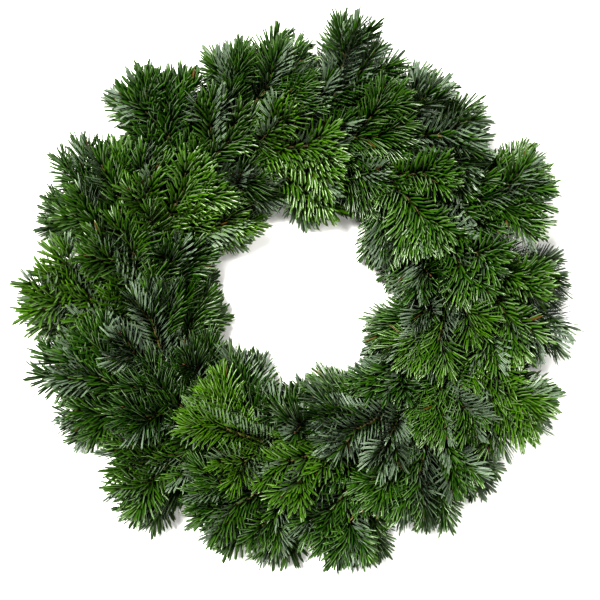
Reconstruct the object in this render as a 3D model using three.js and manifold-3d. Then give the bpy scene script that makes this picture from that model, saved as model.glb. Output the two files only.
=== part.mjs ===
// Fresh evergreen wreath: bunches of fir sprays bound with wire on a straw ring.
// Millimetres, +Z up. It lies on its flat back, and its sprays run clockwise as seen from above.
// A clock angle is measured clockwise from +Y. A seat angle goes round the straw's section,
// from 0 on the outside of the ring over 90 at the top to 180 at the hole.

import * as THREE from "three";
import Module from "manifold-3d";

const wasm = await Module();
wasm.setup();

const degrees = THREE.MathUtils.degToRad;
const FULL_TURN = 2 * Math.PI;
const UP = new THREE.Vector3(0, 0, 1);

// Driving dimensions of the ring and its wire
const RING_RADIUS = 138; // centre line of the straw ring
const STRAW_RADIUS = 17; // corners of its section
const STRAW_SIDES = 10;
const RING_HEIGHT = STRAW_RADIUS * Math.cos(Math.PI / STRAW_SIDES); // centre line above the flat back
const GROOVE_DEPTH = 2.8; // the wire pulls the straw in
const GROOVE_HALF_WIDTH = 5;
const ROWS_BETWEEN_GROOVES = 2;
const WIRE_RADIUS = 0.7;
const WIRE_SIDES = 3;
const WIRE_SEATS_IN_GROOVE = [-180, -144, -108, -72, -36]; // where the wire bends, turn by turn
const WIRE_SEATS_OVER_STEMS = [8, 38, 82, 126, 154];
const WIDEST_WIRE_STEP = 44; // between the seat angles over the stems
const WIRE_START = 2; // bends that the first turn leaves out, so that both ends lie below the straw
const GAP = 0.35; // between pieces that touch

// Driving dimensions of the sprays
const BUNCHES = 14; // each holds one spray of every row, and the wire goes round once for each
const PITCH = FULL_TURN / BUNCHES;
const FIRST_CLOCK = degrees(-42);
const FIRST_SEAT = degrees(16); // the wire reaches this row first
const STEM_RADIUS = 2.4; // corners of its section
const STEM_SIDES = 4;
const STEM_FLAT = STEM_RADIUS * Math.cos(Math.PI / STEM_SIDES); // middle to flat side
const STEM_TIP_RADIUS = 1.2;
const SIDE_TWIG_RADIUS = 1.15;
const SIDE_TWIG_TIP_RADIUS = 0.95;
const SIDE_TWIG_SIDES = 3;
const BOUND_LENGTH = 16; // the cut end that lies on the straw under the wire
const LIFT_OFF_LENGTH = 26; // over which a twig leaves the straw
const STEP = 4; // along a twig

// One row of sprays round the straw: where it sits, how its main twig leaves and how long it is.
// follow is how far the twig goes on turning with the ring, splay turns it out of the ring, sway
// adds to that in every other bunch, and rise and droop are its slope near the ring and at its tip.
// face is the seat angle to which its upper side looks.
const ROWS = [
  { name: "outer", seat: 16, face: 66, follow: 0.24, splay: 2, sway: 2, rise: 35, droop: 11, length: 136 },
  { name: "shoulder", seat: 60, face: 95, follow: 0.29, splay: 15, sway: 4, rise: 37, droop: 1, length: 134 },
  { name: "crown", seat: 104, face: 112, follow: 0.64, splay: 4, sway: 8, rise: 36, droop: 2, length: 124 },
  { name: "inner", seat: 148, face: 136, follow: 0.86, splay: -11, sway: 4, rise: 34, droop: 12, length: 91 },
];
const OUTER_EXTRA = [17, -7, -7, -12, 11, -11, 5, -10, -6, -9, 16, -12, 13, -4]; // reach, bunch by bunch
const SPLAY_DRAW = 6; // at most, to either side of a row's own value
const SLOPE_DRAW = 3;
const LENGTH_DRAW = 6;
const LAYOUT_SEED = 33;

// Two side twigs leave each main twig, on either side, where they stay clear of other sprays.
const SIDE_TWIG_SHARE = 0.43; // of the main twig's length
const SIDE_TWIG_DRAW = [0.85, 1.1];
const SIDE_TWIG_PLACES = [0.42, 0.6]; // along the main twig
const SIDE_TWIG_SPREADS = [52, 40, 64];
const SIDE_TWIG_TILTS = [0, 14, -14, 28, -28, 42];
const SIDE_TWIG_SIZES = [1, 0.8, 0.62];
const SPREAD_LOST = 0.45; // by a side twig's tip, as a share of its spread
const TILT_LOST = 0.5;
const TWIG_DISTANCE = 9; // between side twigs and other twigs
const FORK_STEPS = 3; // that stay out of that test, next to the fork
const STRAW_DISTANCE = 6;
const LOWEST_TWIG = 9;
const HOLE_REACH = 78; // no twig comes nearer to the middle
const NEEDLE_HOLE_REACH = 71; // and no needle, so that a lantern has room in the hole

// Needles, at their true size, each raised from one face of its twig's core
const NEEDLE_LENGTH = 22;
const NEEDLE_WIDTH = 3;
const NEEDLE_THICKNESS = 1.3;
const LEAN = 56; // away from the twig
const TIP_LEAN = 32;
const SIDE_LEAN = 25; // at most, to either side of the face's middle
const NEEDLE_TURNS = [0, 18, -18, 36, -36, 54, -54];
const NEEDLE_LEANS = [1, 0.75, 1.2, 0.55];
const NEEDLE_TESTS = [0.4, 0.7, 1]; // shares of its length where a needle has to be off the straw
const LENGTHS_DRAWN = [0.9, 1.05]; // shares of the full length
const FACE_MARGIN = 0.13; // of a face's width and length, round the needle's root
const TIP_SHARES = [1.05, 0.8, 0.55, 0.35, 0.15]; // of a needle's length, for the point that ends a core
const BARE_LENGTH = 30; // of a main twig, from its cut end
const FORK_BARE_LENGTH = 9; // past a fork, on both twigs
const GOLDEN_SHARE = 0.618;
const CLEARANCE = 0.3; // between needles and everything that they could cross
const NEEDLE_SEED = 51;

const FOLIAGE_COLOURS = { outer: 0x1f4a1c, shoulder: 0x275722, crown: 0x2f6426, inner: 0x1b4020 };
const FOLIAGE_ROUGHNESS = 0.5;
const STRAW_FINISH = { color: 0xb79a5b, roughness: 0.9 };
const WIRE_FINISH = { color: 0x2f4a33, roughness: 0.45, metalness: 0.8 };

// A Park-Miller generator, so that every build draws the same numbers.
function lottery(seed) {
  const factor = 16807;
  const modulus = 2147483647;
  let state = seed;
  return (low, high) => {
    state = (state * factor) % modulus;
    return low + ((high - low) * state) / modulus;
  };
}

const radial = (clock) => new THREE.Vector3(Math.sin(clock), Math.cos(clock), 0);
const clockwise = (clock) => new THREE.Vector3(Math.cos(clock), -Math.sin(clock), 0);
const clockOf = (point) => Math.atan2(point.x, point.y);

// The sum of vectors, each with its scale.
function sum(...terms) {
  const total = new THREE.Vector3();
  for (const [vector, scale] of terms) total.addScaledVector(vector, scale);
  return total;
}

// The seat angle of the middle of the straw's flat side that holds a seat angle.
function flatSide(seat) {
  const side = FULL_TURN / STRAW_SIDES;
  return Math.round((seat + Math.PI / 2) / side) * side - Math.PI / 2;
}

function onSection(clock, seat, reach) {
  const height = RING_HEIGHT + reach * Math.sin(seat);
  return sum([radial(clock), RING_RADIUS + reach * Math.cos(seat)], [UP, height]);
}

const outward = (clock, seat) => sum([radial(clock), Math.cos(seat)], [UP, Math.sin(seat)]);

// The clock angle of the wire where it passes a seat angle, turn by turn.
function wireClock(turn, seat) {
  return FIRST_CLOCK + BOUND_LENGTH / 2 / RING_RADIUS + PITCH * (turn + (seat - FIRST_SEAT) / FULL_TURN);
}

// A geometry from corner points and faces given by their numbers.
function geometryOf(points, faces) {
  const positions = new Float32Array(points.flatMap((point) => point.toArray()));
  return new THREE.BufferGeometry()
    .setAttribute("position", new THREE.BufferAttribute(positions, 3))
    .setIndex(new THREE.BufferAttribute(new Uint32Array(faces), 1));
}

// A closed geometry through rings of corners, which run anticlockwise seen from the last ring.
function loft(rings) {
  const corners = rings[0].length;
  const last = (rings.length - 1) * corners;
  const faces = [];
  for (let start = 0; start < last; start += corners) {
    for (let corner = 0; corner < corners; corner++) {
      const a = start + corner;
      const b = start + ((corner + 1) % corners);
      faces.push(a, b, b + corners, a, b + corners, a + corners);
    }
  }
  for (let corner = 2; corner < corners; corner++) {
    faces.push(0, corner, corner - 1);
    faces.push(last, last + corner - 1, last + corner);
  }
  return geometryOf(rings.flat(), faces);
}

// One ring of corners round a point, the first one in the direction of up.
function ringRound(point, heading, up, radius, sides) {
  const top = sum([up, 1], [heading, -up.dot(heading)]).normalize();
  const across = new THREE.Vector3().crossVectors(heading, top);
  return Array.from({ length: sides }, (_, side) => {
    const angle = (FULL_TURN * side) / sides;
    return sum([point, 1], [top, radius * Math.cos(angle)], [across, radius * Math.sin(angle)]);
  });
}

function solidOf(geometry) {
  const vertProperties = geometry.attributes.position.array;
  const triVerts = geometry.index.array;
  return new wasm.Manifold(new wasm.Mesh({ numProp: 3, vertProperties, triVerts }));
}

function meshOf(name, geometry, finish) {
  const mesh = new THREE.Mesh(geometry, new THREE.MeshStandardMaterial(finish));
  mesh.name = name;
  return mesh;
}

// The straw ring, on a grid whose lines follow the wire, so that each turn lies in its own groove.
function strawRing() {
  const edge = GROOVE_HALF_WIDTH / (PITCH * RING_RADIUS);
  const shares = [-edge, 0, edge];
  for (let row = 1; row <= ROWS_BETWEEN_GROOVES; row++) {
    shares.push(edge + ((1 - 2 * edge) * row) / (ROWS_BETWEEN_GROOVES + 1));
  }
  const rows = shares.length * BUNCHES;
  const points = [];
  const faces = [];
  for (let row = 0; row < rows; row++) {
    const share = shares[row % shares.length];
    const reach = STRAW_RADIUS - (share === 0 ? GROOVE_DEPTH : 0);
    for (let side = 0; side < STRAW_SIDES; side++) {
      const seat = (FULL_TURN * side) / STRAW_SIDES;
      points.push(onSection(wireClock(Math.floor(row / shares.length) + share, seat), seat, reach));
    }
  }
  // Past the last side the grid goes on one turn of the wire further.
  const corner = (row, side) => {
    const wrapped = side === STRAW_SIDES ? row + shares.length : row;
    return (wrapped % rows) * STRAW_SIDES + (side % STRAW_SIDES);
  };
  for (let row = 0; row < rows; row++) {
    for (let side = 0; side < STRAW_SIDES; side++) {
      const [a, b] = [corner(row, side), corner(row, side + 1)];
      const [c, d] = [corner(row + 1, side + 1), corner(row + 1, side)];
      faces.push(a, b, c, a, c, d);
    }
  }
  return meshOf("straw_ring", geometryOf(points, faces), STRAW_FINISH);
}

// The wire in one piece: in its groove below and at the hole, and over the stems above.
function wirePoints() {
  const stemTop = STRAW_RADIUS + 2 * STEM_FLAT + GAP + WIRE_RADIUS;
  const overStems = stemTop / Math.cos(degrees(WIDEST_WIRE_STEP / 2));
  const inGroove = STRAW_RADIUS - GROOVE_DEPTH + GAP + WIRE_RADIUS;
  const turn = WIRE_SEATS_IN_GROOVE.map((seat) => [degrees(seat), inGroove]);
  turn.push(...WIRE_SEATS_OVER_STEMS.map((seat) => [degrees(seat), overStems]));
  return Array.from({ length: turn.length * BUNCHES }, (_, index) => {
    const bend = index + WIRE_START;
    const [seat, reach] = turn[bend % turn.length];
    const clock = wireClock(Math.floor(bend / turn.length), seat);
    return { point: onSection(clock, seat, reach), out: outward(clock, seat) };
  });
}

function bindingWire(route) {
  const rings = route.map(({ point, out }, index) => {
    const before = route[Math.max(index - 1, 0)].point;
    const after = route[Math.min(index + 1, route.length - 1)].point;
    return ringRound(point, sum([after, 1], [before, -1]).normalize(), out, WIRE_RADIUS, WIRE_SIDES);
  });
  return meshOf("binding_wire", loft(rings), WIRE_FINISH);
}

// The centre line of a main twig, from its cut end on the straw to its tip.
function mainTwig(row, bunch, draw) {
  const seat = degrees(row.seat);
  const start = FIRST_CLOCK + PITCH * (bunch + (seat - FIRST_SEAT) / FULL_TURN);
  const sway = bunch % 2 ? row.sway : -row.sway;
  const splay = degrees(row.splay + sway + draw(-SPLAY_DRAW, SPLAY_DRAW));
  const rise = degrees(row.rise + draw(-SLOPE_DRAW, SLOPE_DRAW));
  const droop = degrees(row.droop + draw(-SLOPE_DRAW, SLOPE_DRAW));
  const extra = row.name === "outer" ? OUTER_EXTRA[bunch] : 0;
  const length = row.length + draw(-LENGTH_DRAW, LENGTH_DRAW) + extra;
  const flat = flatSide(seat);
  const reach = RING_HEIGHT / Math.cos(seat - flat);
  const seatRadius = RING_RADIUS + reach * Math.cos(seat) + (STEM_FLAT + GAP) * Math.cos(flat);
  const leave = start + BOUND_LENGTH / seatRadius;
  const points = [];
  const ups = [];
  for (let step = 0; step <= Math.round(length / STEP); step++) {
    const along = step * STEP;
    if (along <= BOUND_LENGTH) {
      const clock = start + along / seatRadius;
      const normal = outward(clock, flat);
      points.push(sum([onSection(clock, seat, reach), 1], [normal, STEM_FLAT + GAP]));
      ups.push(normal);
      continue;
    }
    const last = points.at(-1);
    const free = THREE.MathUtils.smoothstep(along - STEP / 2, BOUND_LENGTH, BOUND_LENGTH + LIFT_OFF_LENGTH);
    const turned = THREE.MathUtils.euclideanModulo(clockOf(last) - leave + Math.PI, FULL_TURN) - Math.PI;
    const basis = leave + (1 - free * (1 - row.follow)) * turned;
    const share = (along - BOUND_LENGTH) / (length - BOUND_LENGTH);
    const lift = free * (rise + (droop - rise) * share);
    const away = outward(basis, seat);
    const level = sum([clockwise(basis), Math.cos(splay * free)], [radial(basis), Math.sin(splay * free)]);
    const heading = sum([level, Math.cos(lift)], [away, Math.sin(lift)]).normalize();
    points.push(sum([last, 1], [heading, STEP]));
    ups.push(outward(basis, degrees(row.face)));
  }
  return { points, ups };
}

// The centre line of a side twig, which bends back towards the main twig's heading.
function sideTwig({ points, ups }, place, side, spread, tilt, length) {
  const fork = Math.round(place * (points.length - 1));
  const heading = sum([points[fork + 1], 1], [points[fork - 1], -1]).normalize();
  const up = sum([ups[fork], 1], [heading, -heading.dot(ups[fork])]).normalize();
  const across = new THREE.Vector3().crossVectors(heading, up);
  const steps = Math.round(length / STEP);
  const line = [points[fork]];
  for (let step = 1; step <= steps; step++) {
    const angle = degrees(spread) * (1 - (SPREAD_LOST * step) / steps);
    const lift = degrees(tilt) * (1 - (TILT_LOST * step) / steps);
    const level = sum([heading, Math.cos(angle)], [across, side * Math.sin(angle)]);
    const way = sum([level, Math.cos(lift)], [up, Math.sin(lift)]).normalize();
    line.push(sum([line.at(-1), 1], [way, STEP]));
  }
  return { points: line, ups: line.map(() => up) };
}

function strawDistance(point) {
  const across = Math.hypot(point.x, point.y) - RING_RADIUS;
  return Math.hypot(across, point.z - RING_HEIGHT) - STRAW_RADIUS;
}

function hasRoom(points, others) {
  return points.every(
    (point) =>
      point.z > LOWEST_TWIG &&
      Math.hypot(point.x, point.y) > HOLE_REACH &&
      strawDistance(point) > STRAW_DISTANCE &&
      others.every((other) => point.distanceTo(other) >= TWIG_DISTANCE),
  );
}

// The first side twig that has room, the largest and flattest ones first.
function roomySideTwig(main, place, side, length, others) {
  for (const size of SIDE_TWIG_SIZES) {
    for (const tilt of SIDE_TWIG_TILTS) {
      for (const spread of SIDE_TWIG_SPREADS) {
        const twig = sideTwig(main, place, side, spread, tilt, length * size);
        if (hasRoom(twig.points.slice(FORK_STEPS), others)) return twig;
      }
    }
  }
  return null;
}

// Every spray's twigs, the main one first. The rows of one bunch follow each other.
function layOutSprays() {
  const draw = lottery(LAYOUT_SEED);
  const sprays = [];
  for (let bunch = 0; bunch < BUNCHES; bunch++) {
    for (const row of ROWS) sprays.push({ row, bunch, twigs: [mainTwig(row, bunch, draw)] });
  }
  for (const spray of sprays) {
    const places = spray.bunch % 2 ? SIDE_TWIG_PLACES : SIDE_TWIG_PLACES.toReversed();
    [1, -1].forEach((side, index) => {
      const length = SIDE_TWIG_SHARE * spray.row.length * draw(...SIDE_TWIG_DRAW);
      const elsewhere = sprays.filter((other) => other !== spray).flatMap((other) => other.twigs);
      const others = [...elsewhere, ...spray.twigs.slice(1)].flatMap((twig) => twig.points);
      const twig = roomySideTwig(spray.twigs[0], places[index], side, length, others);
      if (twig) spray.twigs.push(twig);
    });
  }
  return sprays;
}

// A twig as its few straight pieces, with a ring of corners at every stop. A stem is turned by half
// of one of its sides, so that its flat sides face up, down and to both sides.
function coarseTwig({ points, ups }, indices, [startRadius, tipRadius], sides) {
  const cornerTurn = sides === STEM_SIDES ? Math.PI / STEM_SIDES : 0;
  return indices.map((index, stop) => {
    const [point, up] = [points[index], ups[index]];
    const before = points[indices[Math.max(stop - 1, 0)]];
    const after = points[indices[Math.min(stop + 1, indices.length - 1)]];
    const radius = THREE.MathUtils.lerp(startRadius, tipRadius, index / indices.at(-1));
    const heading = sum([after, 1], [before, -1]).normalize();
    const firstCorner = up.clone().projectOnPlane(heading).applyAxisAngle(heading, cornerTurn);
    const corners = ringRound(point, heading, firstCorner, radius, sides);
    return { point, up, radius, corners };
  });
}

// A main twig has a stop where it leaves the straw, one step before each fork, between the last
// fork and its tip, and at its tip.
function coresOf({ twigs: [main, ...sideTwigs] }) {
  const last = main.points.length - 1;
  const forks = SIDE_TWIG_PLACES.map((place) => Math.round(place * last) - 1);
  const indices = [0, BOUND_LENGTH / STEP, ...forks, Math.round((forks.at(-1) + last) / 2), last];
  const stopLists = [coarseTwig(main, indices, [STEM_RADIUS, STEM_TIP_RADIUS], STEM_SIDES)];
  for (const twig of sideTwigs) {
    const end = twig.points.length - 1;
    const radii = [SIDE_TWIG_RADIUS, SIDE_TWIG_TIP_RADIUS];
    stopLists.push(coarseTwig(twig, [0, Math.round(end / 2), end], radii, SIDE_TWIG_SIDES));
  }
  return stopLists.map((stops, index) => {
    const core = { stops, isMain: index === 0 };
    core.pieces = stops.slice(1).map((stop, piece) => {
      const { point, radius } = stops[piece];
      return straightPiece(core, point, stop.point, radius);
    });
    return core;
  });
}

// The point that ends a core, like a needle at its tip, as far out as it is clear.
function addTip(core, obstacles) {
  const { start, end } = core.pieces.at(-1);
  const heading = sum([end, 1], [start, -1]).normalize();
  for (const share of TIP_SHARES) {
    const point = sum([end, 1], [heading, NEEDLE_LENGTH * share]);
    core.tip = straightPiece(core, end, point, core.stops.at(-1).radius);
    if (isClear(core.tip, obstacles)) break;
  }
  obstacles.push(core.tip);
}

// Shortest distance between two straight pieces.
function distanceBetween(p, q) {
  const u = sum([p.end, 1], [p.start, -1]);
  const v = sum([q.end, 1], [q.start, -1]);
  const w = sum([p.start, 1], [q.start, -1]);
  const [a, b, c, d, e] = [u.dot(u), u.dot(v), v.dot(v), u.dot(w), v.dot(w)];
  const determinant = a * c - b * b;
  const clamp = (share) => THREE.MathUtils.clamp(share, 0, 1);
  const near = determinant > 0 ? clamp((b * e - c * d) / determinant) : 0;
  const t = clamp((b * near + e) / c);
  const s = clamp((b * t - d) / a);
  return sum([w, 1], [u, s], [v, -t]).length();
}

function straightPiece(core, start, end, radius) {
  const middle = sum([start, 0.5], [end, 0.5]);
  return { core, start, end, radius, middle, half: start.distanceTo(end) / 2 };
}

function isClear(needle, obstacles) {
  const room = needle.radius + CLEARANCE;
  if (needle.end.z < room) return false;
  if (Math.hypot(needle.end.x, needle.end.y) < NEEDLE_HOLE_REACH) return false;
  for (const share of NEEDLE_TESTS) {
    if (strawDistance(sum([needle.start, 1 - share], [needle.end, share])) < room) return false;
  }
  return obstacles.every((other) => {
    const apart = room + other.radius;
    const isFar = needle.middle.distanceTo(other.middle) > needle.half + other.half + apart;
    const isOwnCore = other.core === needle.core && !other.root;
    return isOwnCore || isFar || distanceBetween(needle, other) > apart;
  });
}

// One face of a twig, between two stops and two of their corners, with its directions.
function faceOf(stops, piece, side) {
  const [low, high] = [stops[piece].corners, stops[piece + 1].corners];
  const next = (side + 1) % low.length;
  const corners = [low[side], low[next], high[next], high[side]];
  const at = (across, ahead) => {
    const near = sum([corners[0], 1 - across], [corners[1], across]);
    const far = sum([corners[3], 1 - across], [corners[2], across]);
    return sum([near, 1 - ahead], [far, ahead]);
  };
  const heading = sum([at(0.5, 1), 1], [at(0.5, 0), -1]);
  const across = sum([at(1, 0.5), 1], [at(0, 0.5), -1]);
  const [length, width] = [heading.length(), across.length()];
  heading.normalize();
  const normal = new THREE.Vector3().crossVectors(across, heading).normalize();
  return { at, heading, normal, sideways: across.normalize(), length, width };
}

// The root of a needle as three places on its face, each as shares of its width and length:
// the ends of its flat upper side and the keel below, slid along the needle onto the face.
function rootPlaces(face, ahead, way, up) {
  const flat = new THREE.Vector3().crossVectors(up, way).normalize();
  const keel = new THREE.Vector3().crossVectors(flat, way);
  const within = (share) => THREE.MathUtils.clamp(share, FACE_MARGIN, 1 - FACE_MARGIN);
  const place = (offset) => {
    const slid = sum([offset, 1], [way, -offset.dot(face.normal) / way.dot(face.normal)]);
    const acrossShare = 0.5 + slid.dot(face.sideways) / face.width;
    return [within(acrossShare), within(ahead + slid.dot(face.heading) / face.length)];
  };
  const top = sum([keel, -NEEDLE_THICKNESS / 3]);
  return [
    place(sum([top, 1], [flat, NEEDLE_WIDTH / 2])),
    place(sum([top, 1], [flat, -NEEDLE_WIDTH / 2])),
    place(sum([keel, (2 * NEEDLE_THICKNESS) / 3])),
  ];
}

// A needle on a face, turned or leant until it is clear, or null where there is no room.
function raisedNeedle(core, { face, up, ahead }, { turn, lean, length }, obstacles) {
  const start = face.at(0.5, ahead);
  for (const leanShare of NEEDLE_LEANS) {
    for (const extraTurn of NEEDLE_TURNS) {
      const [tilt, angle] = [degrees(lean * leanShare), degrees(turn + extraTurn)];
      const away = sum([face.normal, Math.cos(angle)], [face.sideways, Math.sin(angle)]);
      const way = sum([face.heading, Math.cos(tilt)], [away, Math.sin(tilt)]);
      const end = sum([start, 1], [way, length]);
      const needle = straightPiece(core, start, end, NEEDLE_WIDTH / 2);
      if (isClear(needle, obstacles)) return { ...needle, root: rootPlaces(face, ahead, way, up) };
    }
  }
  return null;
}

// The length without needles at the start of each piece: where a main twig leaves the straw, and
// past a fork, which is where the third and fourth piece of a main twig and any side twig start.
const BARE_STARTS_OF_MAIN = [0, BARE_LENGTH - BOUND_LENGTH, FORK_BARE_LENGTH, FORK_BARE_LENGTH, 0];
const BARE_STARTS_OF_SIDE = [FORK_BARE_LENGTH, 0];

// The needles of a core, by its pieces and sides. A main twig has none where it is bound, and leaves
// one face of each other piece without.
function addNeedles(core, draw, obstacles) {
  const { stops, pieces, isMain } = core;
  const bareStarts = isMain ? BARE_STARTS_OF_MAIN : BARE_STARTS_OF_SIDE;
  const sides = stops[0].corners.length;
  core.needles = new Map();
  let grown = 0;
  pieces.forEach(({ half }, piece) => {
    if (isMain && piece === 0) return;
    const lowest = Math.max(bareStarts[piece] / (2 * half), 2 * FACE_MARGIN);
    const lean = THREE.MathUtils.lerp(LEAN, TIP_LEAN, (piece / pieces.length) ** 2);
    for (let side = 0; side < sides; side++) {
      if (isMain && (piece + side) % sides === 0) continue;
      grown += 1;
      const ahead = THREE.MathUtils.lerp(lowest, 1 - 2 * FACE_MARGIN, (grown * GOLDEN_SHARE) % 1);
      const turn = draw(-SIDE_LEAN, SIDE_LEAN);
      const length = NEEDLE_LENGTH * draw(...LENGTHS_DRAWN);
      const face = faceOf(stops, piece, side);
      const place = { face, up: stops[piece].up, ahead };
      const needle = raisedNeedle(core, place, { turn, lean, length }, obstacles);
      if (!needle) continue;
      core.needles.set(piece * sides + side, needle);
      obstacles.push(needle);
    }
  });
}

// The faces round a needle's root: both outlines are walked together by their angle round the root.
function facesRoundRoot(outer, inner, root) {
  const [across, ahead] = [0, 1].map((axis) => root.reduce((total, place) => total + place[axis] / 3, 0));
  const angleOf = ([x, y]) => {
    const sideways = (x - across) / (x > across ? 1 - across : across);
    const forwards = (y - ahead) / (y > ahead ? 1 - ahead : ahead);
    return Math.atan2(forwards, sideways);
  };
  const outline = [
    [0, 0],
    [1, 0],
    [1, 1],
    [0, 1],
  ];
  const events = [
    ...outline.map((place, index) => ({ angle: angleOf(place), corner: outer[index] })),
    ...root.map((place, index) => ({ angle: angleOf(place), corner: inner[index], isRoot: true })),
  ].sort((one, other) => one.angle - other.angle);
  let lastOuter = events.findLast((event) => !event.isRoot).corner;
  let lastInner = events.findLast((event) => event.isRoot).corner;
  const faces = [];
  for (const { corner, isRoot } of events) {
    faces.push(lastOuter, corner, lastInner);
    if (isRoot) lastInner = corner;
    else lastOuter = corner;
  }
  return faces;
}

// A twig with its needles: a tapering core that ends in a point, its needles drawn out of its faces.
function twigGeometry({ stops, needles, tip }) {
  const sides = stops[0].corners.length;
  const points = stops.flatMap((stop) => stop.corners);
  const faces = [];
  for (let piece = 0; piece < stops.length - 1; piece++) {
    for (let side = 0; side < sides; side++) {
      const start = piece * sides;
      const next = (side + 1) % sides;
      const outer = [start + side, start + next, start + sides + next, start + sides + side];
      const needle = needles.get(piece * sides + side);
      if (!needle) {
        faces.push(outer[0], outer[1], outer[2], outer[0], outer[2], outer[3]);
        continue;
      }
      const face = faceOf(stops, piece, side);
      const root = needle.root.map((_, index) => points.length + index);
      points.push(...needle.root.map(([across, ahead]) => face.at(across, ahead)), needle.end);
      faces.push(...facesRoundRoot(outer, root, needle.root));
      for (let edge = 0; edge < 3; edge++) faces.push(root[edge], root[(edge + 1) % 3], points.length - 1);
    }
  }
  const point = points.push(tip.end) - 1;
  const last = (stops.length - 1) * sides;
  for (let side = 0; side < sides; side++) faces.push(last + side, last + ((side + 1) % sides), point);
  for (let side = 2; side < sides; side++) faces.push(0, side, side - 1);
  return geometryOf(points, faces);
}

// One spray: its twigs joined, in a frame at its cut end.
function sprayMesh({ row, bunch, cores }) {
  const twigs = cores.map((core) => solidOf(twigGeometry(core)));
  const joined = twigs.reduce((whole, twig) => whole.add(twig)).getMesh();
  const cutEnd = cores[0].stops[0].point;
  const geometry = new THREE.BufferGeometry()
    .setAttribute("position", new THREE.BufferAttribute(joined.vertProperties, 3))
    .setIndex(new THREE.BufferAttribute(joined.triVerts, 1))
    .translate(-cutEnd.x, -cutEnd.y, -cutEnd.z);
  const name = "spray_" + row.name + "_" + String(bunch + 1).padStart(2, "0");
  const finish = { color: FOLIAGE_COLOURS[row.name], roughness: FOLIAGE_ROUGHNESS };
  const mesh = meshOf(name, geometry, finish);
  mesh.position.copy(cutEnd);
  return mesh;
}

function buildWreath() {
  const wire = wirePoints();
  const obstacles = wire
    .slice(1)
    .map(({ point }, index) => straightPiece(null, wire[index].point, point, WIRE_RADIUS));
  const sprays = layOutSprays();
  for (const spray of sprays) spray.cores = coresOf(spray);
  const cores = sprays.flatMap((spray) => spray.cores);
  obstacles.push(...cores.flatMap((core) => core.pieces));
  for (const core of cores) addTip(core, obstacles);
  const draw = lottery(NEEDLE_SEED);
  for (const core of cores) addNeedles(core, draw, obstacles);

  const ring = new THREE.Group();
  ring.add(strawRing(), bindingWire(wire), ...sprays.map(sprayMesh));
  const middle = new THREE.Box3().setFromObject(ring, true).getCenter(new THREE.Vector3());
  ring.position.set(-middle.x, -middle.y, 0);
  const wreath = new THREE.Group();
  wreath.add(ring);
  return wreath;
}

export default buildWreath();
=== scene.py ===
"""Looks of the fresh evergreen wreath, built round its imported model.

Clock angles run clockwise from +Y as seen from above. Seat angles go round the straw's section,
from 0 on the outside of the ring over 90 at the top to 180 at the hole. The plant is laid out in
millimetres round the ring's own middle, and its meshes are made in metres round the part's origin.
"""

import math

import bpy
import numpy as np
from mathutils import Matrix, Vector
from mathutils.kdtree import KDTree


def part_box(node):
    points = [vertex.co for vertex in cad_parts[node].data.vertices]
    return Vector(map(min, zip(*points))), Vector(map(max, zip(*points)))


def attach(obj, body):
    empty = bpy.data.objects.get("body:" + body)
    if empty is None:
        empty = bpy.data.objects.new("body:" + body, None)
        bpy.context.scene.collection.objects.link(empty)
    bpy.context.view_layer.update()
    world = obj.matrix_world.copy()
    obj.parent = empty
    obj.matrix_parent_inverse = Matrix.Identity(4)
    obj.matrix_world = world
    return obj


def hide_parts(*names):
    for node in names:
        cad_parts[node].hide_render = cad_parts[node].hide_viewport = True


METRES = 0.001
UP = np.array([0.0, 0.0, 1.0])
FULL_TURN = 2 * math.pi

# The ring and its wire, in millimetres and degrees
RING_RADIUS = 138.0
STRAW_RADIUS = 17.0
STRAW_SIDES = 10
RING_HEIGHT = STRAW_RADIUS * math.cos(math.pi / STRAW_SIDES)
GROOVE_DEPTH = 2.8
GROOVE_WIDTH = 7.0
WIRE_RADIUS = 0.7
WIRE_SIDES = 7
WIRE_STEP = 3.0
WIRE_SEATS_IN_GROOVE = [-180, -144, -108, -72, -36]  # where the wire bends, turn by turn
WIRE_SEATS_OVER_STEMS = [8, 38, 82, 126, 154]
WIDEST_WIRE_STEP = 44  # between the seat angles over the stems
WIRE_START = 2  # bends that the first turn leaves out, so that both ends lie below the straw
GAP = 0.35

# The ring's body, and the stalks of straw that lie on it
STRAW_SEED = 3
STRAW_BODY_SHARE = 0.86
STRAW_BODY_SIDES = 28
STRAW_BODY_STEPS = 180
STALKS = 300
GOLDEN_SHARE = 0.618034  # of a turn round the section, from one stalk to the next
STALK_RADII = (0.75, 1.25)
STALK_LENGTHS = (95, 190)
STALK_SIDES = 5
STALK_STEPS = 22
STALK_DEPTH = 1.2  # at most, below the surface
STALK_DRIFT = 0.2  # round the section, in radians, and so is the waver
STALK_WAVER = 0.03
STALK_WAVE_STEP = 0.7
STALK_END_SHARE = 0.72  # of its radius, and how much each step inwards adds
STALK_END_GROWTH = 0.2
STALK_ABOVE_FLOOR = 0.1

# The sprays' layout, in millimetres and degrees, the same as the solids'
BUNCHES = 14
PITCH = FULL_TURN / BUNCHES
FIRST_CLOCK = math.radians(-42)
FIRST_SEAT = math.radians(16)
STEM_RADIUS = 2.4
STEM_FLAT = STEM_RADIUS * math.cos(math.pi / 4)
BOUND_LENGTH = 16.0
LIFT_OFF_LENGTH = 26.0
STEP = 4.0
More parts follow.
